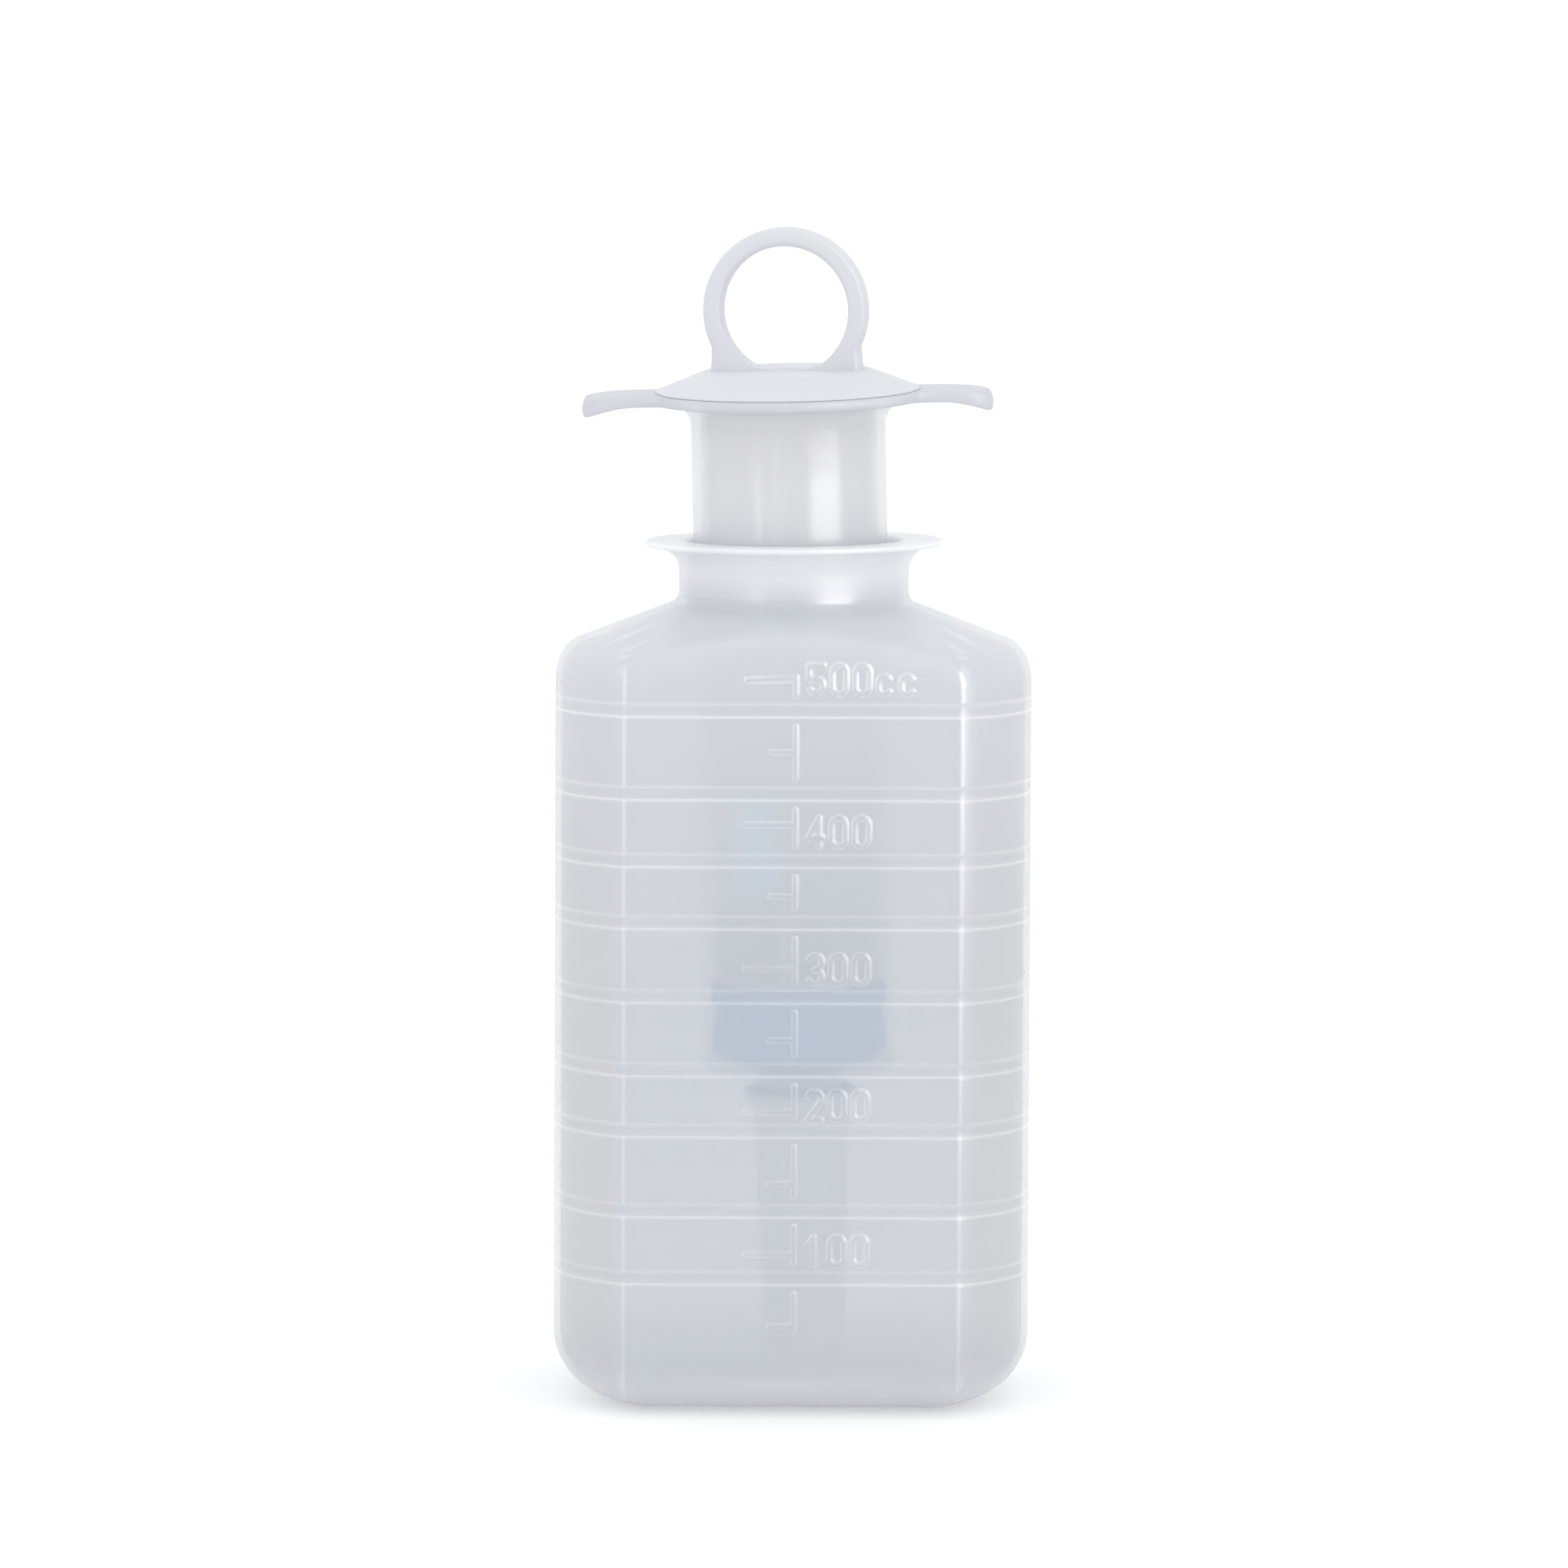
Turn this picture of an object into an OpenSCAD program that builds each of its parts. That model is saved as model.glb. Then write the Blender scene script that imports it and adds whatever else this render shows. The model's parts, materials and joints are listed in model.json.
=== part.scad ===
// Graduated 500 cc bottle of thin milky plastic, with a thumb ring piston syringe
// standing in its neck.
// Millimetres, +Z up. The origin is on the ground under the middle of the bottle,
// and the scale on the bottle's front faces -Y.
// The syringe parts are drawn upright on their own axis, with z = 0 at the very end
// of the tip cap, and in_bottle() leans and stands the whole syringe in the bottle.

/* [Bottle body] */
// Width of the body, side to side
bottle_w = 79.2; // [65:0.2:95]
// Depth of the body, front to back
bottle_d = 60; // [50:0.5:72]
// Height from the ground to the top of the lip
bottle_h = 143.4; // [119:0.2:172]
// Thickness of the blown wall
wall = 1.1; // [0.9:0.1:1.4]
// Radius of the four upright corners
corner_r = 22.6; // [19:0.1:27.2]
// Distance from the side wall to the crease where the flat panel ends
crease_in = 12; // [9:0.1:14]
// Radius where the walls turn under into the base
base_r = 11.5; // [9:0.1:13.5]
// Radius where the walls turn into the shoulder
shoulder_r = 6; // [5:0.1:7.2]
// Fall of the shoulder for each millimetre outwards
shoulder_slope = 0.385; // [0.32:0.005:0.46]

/* [Grooves round the body] */
// Width of each groove
groove_w = 2.1; // [1.75:0.05:2.5]
// Depth of each groove
groove_depth = 0.5; // [0.4:0.05:0.6]

/* [Neck and lip] */
// Height of the neck and lip above the shoulder
neck_h = 10.1; // [8.4:0.1:12.2]
// Thickness of the neck wall
neck_wall = 1.3; // [1.1:0.1:1.6]
// Gap all round between the neck and the syringe barrel
neck_play = 1.65; // [1.4:0.05:2]
// How far the lip stands out from the neck
lip_out = 5.7; // [4.7:0.1:6.8]
// Thickness of the lip
lip_t = 1.1; // [0.9:0.1:1.4]
// Radius of the hollow under the lip
lip_fillet = 4.1; // [3.4:0.1:4.9]

/* [Scale on the bottle] */
// Height of the zero of the scale
scale_zero = 4; // [3.3:0.1:4.8]
// Distance from the top mark up to the shoulder's edge
scale_top_gap = 3; // [2.5:0.1:3.6]
// Height of the marks and numerals above the wall
mark_relief = 0.3; // [0.25:0.05:0.4]
// Width of the strokes
mark_stroke = 0.85; // [0.7:0.05:1]
// Height of a numeral
digit_h = 5.6; // [4.7:0.1:6.7]
// Width of a numeral
digit_w = 3.2; // [2.7:0.1:3.8]
// Length of the marks at each 100
long_tick = 8.4; // [7:0.1:10]
// Length of the marks halfway between
short_tick = 4.4; // [3.7:0.1:5.3]

/* [Syringe barrel] */
// Inner diameter of the barrel
bore_d = 29.2; // [24.4:0.1:35]
// Thickness of the barrel wall
barrel_wall = 1.6; // [1.3:0.1:1.9]
// Length of the barrel, from the closed end to the top of the finger flange
barrel_l = 114; // [95:1:137]
// Thickness of the closed end
end_wall = 1.6; // [1.3:0.1:1.9]
// Depth of the stop ridge inside the barrel, below the flange top
stop_drop = 12; // [10:0.5:14.4]
// Height of the stop ridge above the bore
stop_h = 0.6; // [0.5:0.05:0.72]

/* [Finger flange] */
// How far the round flange stands out from the barrel
flange_out = 6.3; // [5.3:0.1:7.5]
// Thickness of the flange
flange_t = 1.9; // [1.6:0.1:2.3]
// Length across both finger wings
wing_span = 68.2; // [60:0.2:82]
// Width of a finger wing
wing_w = 13; // [11:0.5:15.6]
// How far the top of the wing tips curls down
wing_drop = 0.6; // [0.5:0.1:0.8]
// How far the thicker toe of the wing tips hangs down
wing_toe = 2.1; // [1.7:0.1:2.5]
// Length of the curl, measured from the wing's tip
wing_curl = 9; // [7.5:0.5:10.5]
// Radius of the wing's corners, seen from above
wing_round = 4; // [3.3:0.1:4.8]
// Radius of the hollow under the flange
flange_fillet = 4; // [3.3:0.1:4.8]

/* [Nozzle and tip cap] */
// Diameter of the nozzle's collar
collar_d = 14.2; // [11.8:0.1:17]
// Length of the collar
collar_l = 12; // [10:0.5:14]
// Diameter at the nozzle's tip
tip_d = 6.6; // [5.5:0.1:7.9]
// Step in from the collar to the taper
taper_step = 1.5; // [1.2:0.1:1.8]
// Length of the nozzle, collar and taper
nozzle_l = 42; // [36:0.5:50]
// Diameter of the channel through the nozzle
channel_d = 3; // [2.5:0.1:3.6]
// Thickness of the cap's wall
cap_wall = 1.3; // [1.1:0.1:1.6]
// Height of the cap
cap_h = 49.8; // [42:0.2:59]
// Gap between the cap's mouth and the barrel
cap_gap = 3.4; // [2.8:0.1:4.1]
// Air between the nozzle's tip and the cap's wall
cap_air = 2; // [1.6:0.1:2.4]
// Height of the bead round the cap's mouth
cap_bead = 2; // [1.6:0.1:2.4]
// Running gap between the cap and the collar
cap_fit = 0.04; // [0.02:0.01:0.08]

/* [Piston seal] */
// Height of the rubber seal
seal_h = 12.5; // [10.5:0.1:15]
// Running gap between the seal and the bore
seal_fit = 0.05; // [0.02:0.01:0.1]
// Depth of the groove round the seal
seal_groove = 0.7; // [0.6:0.05:0.85]
// Height of the seal's bevelled foot
seal_foot = 1.5; // [1.2:0.1:1.8]
// Thickness of the rubber over the plunger's head
seal_lip = 3; // [2.5:0.1:3.6]
// Gap between the seal and the closed end with the plunger pushed home
seal_gap = 0.4; // [0.3:0.05:0.6]

/* [Plunger rod] */
// Gap between the vanes and the stop ridge
vane_play = 0.4; // [0.3:0.05:0.6]
// Thickness of the four vanes
vane_t = 1.8; // [1.5:0.1:2.2]
// Diameter of the head held by the seal
head_d = 20; // [17:0.5:22]
// Thickness of the head
head_t = 4.5; // [3.8:0.1:5.4]
// Running gap between the head and the seal
head_fit = 0.05; // [0.02:0.01:0.1]
// Diameter of the stem between the head and the disc above the seal
stem_d = 11; // [9:0.5:13]
// Gap between the stem and the seal's mouth
stem_play = 0.5; // [0.4:0.1:0.6]
// Thickness of the disc above the seal
disc_t = 1.6; // [1.3:0.1:1.9]
// Gap between the disc and the seal
disc_gap = 0.3; // [0.2:0.05:0.4]
// Diameter of the round plate under the ring
plate_d = 44; // [38:0.5:52]
// Thickness of the plate at its rim
plate_t = 1.3; // [1.1:0.1:1.6]
// Rise of the plate from its rim to the ring
plate_rise = 1.3; // [1.1:0.1:1.6]
// Step in from the plate's rim to its cone
plate_step = 0.3; // [0.2:0.05:0.4]
// How far the cone's top stands out from the ring's legs
plate_shelf = 0.8; // [0.6:0.1:1]
// Height of the flat foot inside the ring above the plate
foot_rise = 1.1; // [0.9:0.1:1.3]
// Gap between the plate and the flange
plate_gap = 0.2; // [0.1:0.05:0.3]
// Outer diameter of the thumb ring
ring_d = 27.5; // [23:0.1:32.4]
// Width of the ring's rim, seen from the front
ring_rim = 3.1; // [2.6:0.1:3.7]
// Thickness of the ring, front to back
ring_t = 4.8; // [4:0.1:5.8]
// Height of the ring's middle above its flat foot
ring_rise = 9.4; // [7.8:0.1:10]
// Width across the ring's two legs
leg_span = 24.8; // [22:0.1:29]
// Turn of the plunger in the barrel
plunger_turn = -10; // [-45:1:45]

/* [How the syringe stands] */
// Lean to the left
lean_left = 1.3; // [0:0.1:1.6]
// Lean to the front
lean_front = 2.4; // [0:0.1:2.8]
// Gap left between the barrel and the lip it leans towards
lean_gap = 0.35; // [0.3:0.05:0.6]
// Gap between the cap and the bottle's floor
floor_gap = 0.2; // [0.1:0.05:0.3]

/* [Hidden] */
$fn = 96;

// Body: centres of the corner arcs, and the shoulder cone
corner_x = bottle_w / 2 - corner_r;
corner_y = bottle_d / 2 - sqrt(corner_r * corner_r - (corner_r - crease_in) * (corner_r - crease_in));
slope_len = sqrt(1 + shoulder_slope * shoulder_slope);
far = bottle_w;                    // a radius beyond every corner
join = 1;                          // shapes that are joined run this far into each other
blend_lift = 0.15;                 // lets the shoulder's round cross the cone cleanly
blend_sink = 0.5;                  // the flange's fillet reaches this far into the wall

// Syringe: radii, then levels measured up from the end of the cap
bore_r = bore_d / 2;
barrel_r = bore_r + barrel_wall;
flange_r = barrel_r + flange_out;
stop_r = bore_r - stop_h;
vane_r = stop_r - vane_play;
collar_r = collar_d / 2;
cap_bore_r = collar_r + cap_fit;
end_z = cap_h + cap_gap;           // outside of the barrel's closed end
floor_z = end_z + end_wall;        // inside of the closed end
flange_z = end_z + barrel_l;       // top of the finger flange
seal_z = floor_z + seal_gap;       // bottom of the seal
seal_top = seal_z + seal_h;
head_z = seal_top - seal_lip - head_t;   // underside of the plunger's head
plate_z = flange_z + plate_gap;    // underside of the plate
hub_z = plate_z + plate_t + plate_rise;
ring_z = hub_z + foot_rise + ring_rise;  // middle of the thumb ring
ring_r = ring_d / 2;
cap_end_r = tip_d / 2 + cap_air + cap_wall;

// Neck, sized to pass the barrel
neck_bore_r = barrel_r + neck_play;
neck_r = neck_bore_r + neck_wall;
lip_r = neck_r + lip_out;
shoulder_z = bottle_h - neck_h;    // where the shoulder meets the neck

// Height of the shoulder cone at a distance r from the axis
function roof_z(r, inset) = shoulder_z - inset * slope_len - shoulder_slope * (r - neck_r);

// Scale: the top mark keeps its distance from the edge of the shoulder
scale_top = roof_z(bottle_w / 2, 0) - scale_top_gap;
scale_step = (scale_top - scale_zero) / 10;
line_x = 0.4;                      // place of the upright line
line_gap = 1.1;                    // the line stops this far from a groove
digit_x = 1.7;                     // gap from the line to the first numeral
digit_gap = 0.55;                  // gap from one numeral to the next
digit_pitch = digit_w + digit_gap;
digit_drop = 0.48;                 // share of a numeral's height that lies below its mark
one_flag = 0.3;                    // the flag of the 1 starts this far in
four_stem = 0.6;                   // the stem of the 4 stands this far in
four_bar = 0.9;                    // its bar lies this far below the middle
five_lift = 0.2;                   // the bowl of the 5 is lifted by this much
small_share = 0.68;                // height of a small letter against a numeral's
small_in = 0.2;                    // a small letter's bow is this much tighter
mark_sink = 0.3;                   // the marks reach this far into the wall
stop_sink = 0.4;                   // the stop ridge reaches this far into the wall
// Heights of the grooves, counted in steps of the scale
groove_steps = [1.67, 2.61, 3.73, 4.58, 5.6, 6.63, 7.49, 8.42, 9.57];
function groove_z(i) = scale_zero + groove_steps[i] * scale_step;

// Standing place: the cap rests on the floor, or the flange hangs above the lip
// where the bottle is taller than the syringe
lean = sqrt(lean_left * lean_left + lean_front * lean_front);
lean_dir = [-lean_left, -lean_front] / lean;
hang_gap = flange_t + wing_toe + wing_span / 2 * sin(lean) + floor_gap;
stand_z = max(wall + floor_gap, bottle_h + hang_gap - flange_z);
lip_offset = neck_play - lean_gap;
tip_offset = lip_offset - (bottle_h - stand_z) * tan(lean);

module in_bottle() {
    translate([lean_dir[0] * tip_offset, lean_dir[1] * tip_offset, stand_z])
        rotate([lean_front, -lean_left, 0])
            children();
}

// ---- bottle ----

// Plan of the body: flat panels between the creases, round corners beyond them
module body_plan(inset) {
    intersection() {
        square([bottle_w - 2 * inset, bottle_d - 2 * inset], center = true);
        union() {
            square([2 * corner_x, bottle_d], center = true);
            square([bottle_w, 2 * corner_y], center = true);
            for (x = [-corner_x, corner_x], y = [-corner_y, corner_y])
                translate([x, y])
                    circle(corner_r - inset);
        }
    }
}

// Upright outline of the body: rounded at the base and at the shoulder's edge
module body_outline(half, inset) {
    base = base_r - inset;
    top = shoulder_r - inset;
    base_x = half - inset - base;
    top_x = half - inset - top;
    top_z = roof_z(top_x, inset) - top * slope_len + blend_lift;
    open_x = top_x + top * shoulder_slope / slope_len;
    translate([-base_x, inset])
        square([2 * base_x, base + join]);
    translate([inset - half, inset + base])
        square([2 * (half - inset), top_z - inset - base]);
    translate([-open_x, inset + base + join])
        square([2 * open_x, bottle_h]);
    for (side = [-1, 1]) {
        translate([side * base_x, inset + base])
            circle(base);
        translate([side * top_x, top_z])
            circle(top);
    }
}

// The blown form, with its grooves; an inset gives the hollow inside it
module body_form(inset) {
    difference() {
        intersection() {
            linear_extrude(bottle_h)
                body_plan(inset);
            rotate([90, 0, 0])
                linear_extrude(2 * far, center = true)
                    body_outline(bottle_w / 2, inset);
            rotate([90, 0, 90])
                linear_extrude(2 * far, center = true)
                    body_outline(bottle_d / 2, inset);
            rotate_extrude()
                polygon([
                    [0, 0],
                    [far, 0],
                    [far, roof_z(far, inset)],
                    [neck_r, roof_z(neck_r, inset)],
                    [0, roof_z(neck_r, inset)]
                ]);
        }
        for (i = [0 : len(groove_steps) - 1])
            translate([0, 0, groove_z(i) - groove_w / 2 - inset])
                linear_extrude(groove_w + 2 * inset)
                    difference() {
                        square(2 * far, center = true);
                        body_plan(inset + groove_depth);
                    }
    }
}

// Neck tube and rolled lip, turned about the axis
module neck_and_lip() {
    rotate_extrude() {
        translate([neck_bore_r, shoulder_z - 2 * join])
            square([neck_wall, neck_h + 2 * join - lip_t / 2]);
        translate([neck_bore_r, bottle_h - lip_t])
            square([lip_r - lip_t / 2 - neck_bore_r, lip_t]);
        translate([lip_r - lip_t / 2, bottle_h - lip_t / 2])
            circle(lip_t / 2);
        translate([neck_r, bottle_h - lip_t - lip_fillet])
            difference() {
                square(lip_fillet);
                translate([lip_fillet, 0])
                    circle(lip_fillet);
            }
    }
}

// A stroke between two points, with round ends
module stroke(from, to) {
    run = to - from;
    translate(from)
        rotate(atan2(run[1], run[0])) {
            translate([0, -mark_stroke / 2])
                square([norm(run), mark_stroke]);
            circle(mark_stroke / 2, $fn = 24);
        }
    translate(to)
        circle(mark_stroke / 2, $fn = 24);
}

// A curved stroke of radius r about a centre, from one angle round to a larger one
module bow(centre, r, start, end) {
    reach = 3 * r;
    steps = ceil((end - start) / 60);
    translate(centre) {
        intersection() {
            difference() {
                circle(r + mark_stroke / 2, $fn = 48);
                circle(r - mark_stroke / 2, $fn = 48);
            }
            polygon(concat([[0, 0]], [
                for (k = [0 : steps])
                    let (turn = start + (end - start) * k / steps)
                    reach * [cos(turn), sin(turn)]
            ]));
        }
        for (turn = [start, end])
            rotate(turn)
                translate([r, 0])
                    circle(mark_stroke / 2, $fn = 24);
    }
}

// One numeral in a box digit_w wide and digit_h high
module numeral(n) {
    m = mark_stroke / 2;
    r = digit_w / 2 - m;
    lo = m + r;
    hi = digit_h - m - r;
    mid = digit_h / 2;
    right = digit_w - m;
    if (n == 0) {
        stroke([m, lo], [m, hi]);
        stroke([right, lo], [right, hi]);
        bow([m + r, hi], r, 0, 180);
        bow([m + r, lo], r, 180, 360);
    }
    if (n == 1) {
        stroke([digit_w / 2, m], [digit_w / 2, digit_h - m]);
        stroke([digit_w / 2, digit_h - m], [m + one_flag, hi]);
    }
    if (n == 2) {
        bow([m + r, hi], r, -30, 165);
        stroke([m + r + r * cos(30), hi - r / 2], [m, m]);
        stroke([m, m], [right, m]);
    }
    if (n == 3) {
        bow([m + r, hi], r, -90, 150);
        bow([m + r, lo], r, -150, 90);
    }
    if (n == 4) {
        stroke([right - four_stem, m], [right - four_stem, digit_h - m]);
        stroke([right - four_stem, digit_h - m], [m, mid - four_bar]);
        stroke([m, mid - four_bar], [right, mid - four_bar]);
    }
    if (n == 5) {
        stroke([right, digit_h - m], [m, digit_h - m]);
        stroke([m, digit_h - m], [m, mid + five_lift]);
        bow([m + r, lo + five_lift], r, -150, 135);
    }
}

// Small c, two thirds of a numeral high
module small_c() {
    m = mark_stroke / 2;
    r = digit_w / 2 - m - small_in;
    x = m + r;
    top = digit_h * small_share - m - r;
    bow([x, top], r, 30, 180);
    bow([x, m + r], r, 180, 330);
    stroke([m, m + r], [m, top]);
}

// A piece of the upright line, from one height to another
module line_piece(low, high) {
    translate([line_x - mark_stroke / 2, low])
        square([mark_stroke, high - low]);
}

// Marks each 50, numerals each 100, and an upright line that the grooves break
module scale_plan() {
    last = len(groove_steps) - 1;
    clear = groove_w / 2 + line_gap;
    for (k = [1 : 10])
        let (length = k % 2 == 0 ? long_tick : short_tick)
            translate([line_x - length, scale_zero + k * scale_step - mark_stroke / 2])
                square([length, mark_stroke]);
    for (k = [1 : 5])
        translate([line_x + digit_x, scale_zero + 2 * k * scale_step - digit_h * digit_drop]) {
            numeral(k);
            for (place = [1, 2])
                translate([place * digit_pitch, 0])
                    numeral(0);
            if (k == 5)
                for (place = [3, 4])
                    translate([place * digit_pitch, 0])
                        small_c();
        }
    line_piece(scale_zero + scale_step - mark_stroke, groove_z(0) - clear);
    for (i = [0 : last - 1])
        line_piece(groove_z(i) + clear, groove_z(i + 1) - clear);
    line_piece(groove_z(last) + clear, scale_top + mark_stroke);
}

module bottle() {
    color([0.86, 0.87, 0.9, 0.6])
        difference() {
            union() {
                body_form(0);
                neck_and_lip();
                translate([0, mark_sink - bottle_d / 2, 0])
                    rotate([90, 0, 0])
                        linear_extrude(mark_sink + mark_relief)
                            scale_plan();
            }
            body_form(wall);
            translate([0, 0, shoulder_z - 4 * join])
                cylinder(r = neck_bore_r, h = neck_h + 8 * join);
        }
}

// ---- syringe barrel ----

// Share of the wing tips' fall at a distance x from the axis, 0 to 1
function curl(x) = pow(max(0, 1 - (wing_span / 2 - x) / wing_curl), 2);

// Half of the wings' front outline: flat, then curling down to a thicker tip
module wing_outline() {
    half = wing_span / 2;
    steps = 8;
    start = half - wing_curl;
    places = [for (k = [0 : steps]) start + k * wing_curl / steps];
    polygon(concat(
        [[0, -flange_t], [0, 0]],
        [for (x = places) [x, -wing_drop * curl(x)]],
        [for (k = [steps : -1 : 0]) [places[k], -flange_t - wing_toe * curl(places[k])]]
    ));
}

// Plan of the wings: straight sides, round ends
module wing_plan() {
    square([wing_span - 2 * wing_round, wing_w], center = true);
    square([wing_span, wing_w - 2 * wing_round], center = true);
    for (x = [-1, 1], y = [-1, 1])
        translate([x * (wing_span / 2 - wing_round), y * (wing_w / 2 - wing_round)])
            circle(wing_round);
}

module finger_flange() {
    translate([0, 0, -flange_t])
        cylinder(r = flange_r, h = flange_t);
    intersection() {
        rotate([90, 0, 0])
            linear_extrude(wing_w + 2 * join, center = true)
                for (side = [0, 1])
                    mirror([side, 0])
                        wing_outline();
        translate([0, 0, -flange_t - wing_toe - join])
            linear_extrude(flange_t + wing_toe + 2 * join)
                wing_plan();
    }
    rotate_extrude()
        translate([barrel_r - blend_sink, -flange_t - flange_fillet])
            difference() {
                square(flange_fillet + blend_sink);
                translate([flange_fillet + blend_sink, 0])
                    circle(flange_fillet);
            }
}

module barrel() {
    taper_z = end_z - collar_l;
    color([0.88, 0.89, 0.92, 0.7])
        in_bottle()
            difference() {
                union() {
                    translate([0, 0, end_z])
                        cylinder(r = barrel_r, h = barrel_l);
                    translate([0, 0, flange_z])
                        finger_flange();
                    translate([0, 0, taper_z])
                        cylinder(r = collar_r, h = collar_l + join);
                    translate([0, 0, end_z - nozzle_l])
                        cylinder(r1 = tip_d / 2, r2 = collar_r - taper_step, h = nozzle_l - collar_l + join);
                }
                translate([0, 0, floor_z])
                    difference() {
                        cylinder(r = bore_r, h = barrel_l);
                        translate([0, 0, barrel_l - end_wall - stop_drop])
                            rotate_extrude()
                                translate([bore_r + stop_sink, 0])
                                    circle(stop_h + stop_sink, $fn = 32);
                    }
                translate([0, 0, end_z - nozzle_l - join])
                    cylinder(r = channel_d / 2, h = nozzle_l + end_wall + 2 * join);
            }
}

// ---- tip cap ----

module tip_cap() {
    mouth_z = end_z - collar_l - join;   // where the wide mouth ends inside the cap
    color([0.9, 0.91, 0.93])
        in_bottle()
            difference() {
                union() {
                    translate([0, 0, cap_end_r])
                        sphere(r = cap_end_r);
                    translate([0, 0, cap_end_r])
                        cylinder(r1 = cap_end_r, r2 = cap_bore_r + cap_wall, h = cap_h - cap_end_r);
                    translate([0, 0, cap_h - cap_bead])
                        cylinder(r = cap_bore_r + 2 * cap_wall, h = cap_bead);
                }
                translate([0, 0, mouth_z])
                    cylinder(r = cap_bore_r, h = cap_h);
                translate([0, 0, cap_end_r])
                    cylinder(
                        r1 = cap_end_r - cap_wall,
                        r2 = collar_r - taper_step / 2,
                        h = mouth_z + join - cap_end_r
                    );
                translate([0, 0, cap_end_r])
                    sphere(r = cap_end_r - cap_wall);
            }
}

// ---- piston seal ----

module piston_seal() {
    rim_r = bore_r - seal_fit;
    band_h = (seal_h - seal_foot) / 3;
    color([0.35, 0.62, 0.78])
        in_bottle()
            difference() {
                union() {
                    translate([0, 0, seal_z])
                        cylinder(r1 = rim_r - seal_foot, r2 = rim_r, h = seal_foot);
                    translate([0, 0, seal_z + seal_foot])
                        cylinder(r = rim_r, h = band_h);
                    translate([0, 0, seal_z + seal_foot])
                        cylinder(r = rim_r - seal_groove, h = seal_h - seal_foot - band_h / 2);
                    translate([0, 0, seal_top - band_h])
                        cylinder(r = rim_r, h = band_h);
                }
                translate([0, 0, head_z - head_fit])
                    cylinder(r = head_d / 2 + head_fit, h = head_t + 2 * head_fit);
                translate([0, 0, head_z])
                    cylinder(r = stem_d / 2 + stem_play, h = seal_h);
            }
}

// ---- plunger rod ----

// Front outline of the thumb ring on its two legs
module ring_outline() {
    leg_top = sqrt(ring_r * ring_r - leg_span * leg_span / 4);
    difference() {
        union() {
            circle(ring_r);
            translate([-leg_span / 2, -ring_rise - foot_rise - join])
                square([leg_span, ring_rise + foot_rise + join - leg_top]);
        }
        intersection() {
            circle(ring_r - ring_rim);
            translate([-ring_d, -ring_rise])
                square([2 * ring_d, 2 * ring_d]);
        }
    }
}

module plunger_rod() {
    color([0.9, 0.91, 0.93])
        in_bottle()
            rotate(plunger_turn) {
                translate([0, 0, head_z])
                    cylinder(r = head_d / 2, h = head_t);
                translate([0, 0, head_z + head_t / 2])
                    cylinder(d = stem_d, h = seal_lip + head_t / 2 + disc_gap + disc_t / 2);
                translate([0, 0, seal_top + disc_gap])
                    cylinder(r = vane_r, h = disc_t);
                for (turn = [0, 90])
                    rotate(turn)
                        translate([-vane_r, -vane_t / 2, seal_top + join])
                            cube([2 * vane_r, vane_t, plate_z - seal_top]);
                translate([0, 0, plate_z])
                    cylinder(d = plate_d, h = plate_t);
                translate([0, 0, plate_z + plate_t])
                    cylinder(d1 = plate_d - 2 * plate_step, d2 = leg_span + 2 * plate_shelf, h = plate_rise);
                translate([0, ring_t / 2, ring_z])
                    rotate([90, 0, 0])
                        linear_extrude(ring_t)
                            ring_outline();
            }
}

bottle();
barrel();
plunger_rod();
piston_seal();
tip_cap();
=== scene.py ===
import json
import math

import bmesh
import bpy
import numpy as np
from mathutils import Matrix, Vector


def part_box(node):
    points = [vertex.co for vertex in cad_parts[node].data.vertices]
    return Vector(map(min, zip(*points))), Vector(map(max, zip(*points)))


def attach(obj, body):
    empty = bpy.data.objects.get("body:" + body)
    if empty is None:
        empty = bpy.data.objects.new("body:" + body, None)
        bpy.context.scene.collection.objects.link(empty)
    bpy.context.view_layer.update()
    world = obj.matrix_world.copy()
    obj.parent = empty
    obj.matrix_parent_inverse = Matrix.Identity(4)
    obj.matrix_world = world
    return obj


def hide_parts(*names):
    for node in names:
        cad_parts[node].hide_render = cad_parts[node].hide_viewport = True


# A milky 500 cc bottle with a thumb ring piston syringe standing in its neck.
# Shapes are drawn in millimetres and placed in the frame in metres.

MM = 0.001

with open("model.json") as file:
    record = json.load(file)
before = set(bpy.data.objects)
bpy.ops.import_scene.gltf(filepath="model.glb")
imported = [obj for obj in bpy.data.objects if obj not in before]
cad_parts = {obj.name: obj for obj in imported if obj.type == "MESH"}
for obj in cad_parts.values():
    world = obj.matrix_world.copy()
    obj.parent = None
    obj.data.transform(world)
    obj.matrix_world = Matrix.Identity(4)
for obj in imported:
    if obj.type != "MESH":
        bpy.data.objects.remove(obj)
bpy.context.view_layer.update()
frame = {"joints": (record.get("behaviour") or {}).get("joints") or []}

# ---- sizes from the frame ----

bottle_low, bottle_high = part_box("bottle")
HALF_W = bottle_high.x / MM
HALF_D = bottle_high.y / MM
BOTTLE_H = bottle_high.z / MM
MARK_RELIEF = -bottle_low.y / MM - HALF_D

joints = {joint["name"]: joint for joint in frame["joints"]}
SYRINGE_AXIS = Vector(joints["plunger_turn"]["axis"])
FLANGE_POINT = Vector(joints["plunger_turn"]["pos_m"])
lean_front = math.asin(-SYRINGE_AXIS.y)
lean_left = math.atan2(-SYRINGE_AXIS.x, SYRINGE_AXIS.z)

# ---- sizes that the frame doesn't state, in mm, as in the part ----

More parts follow.
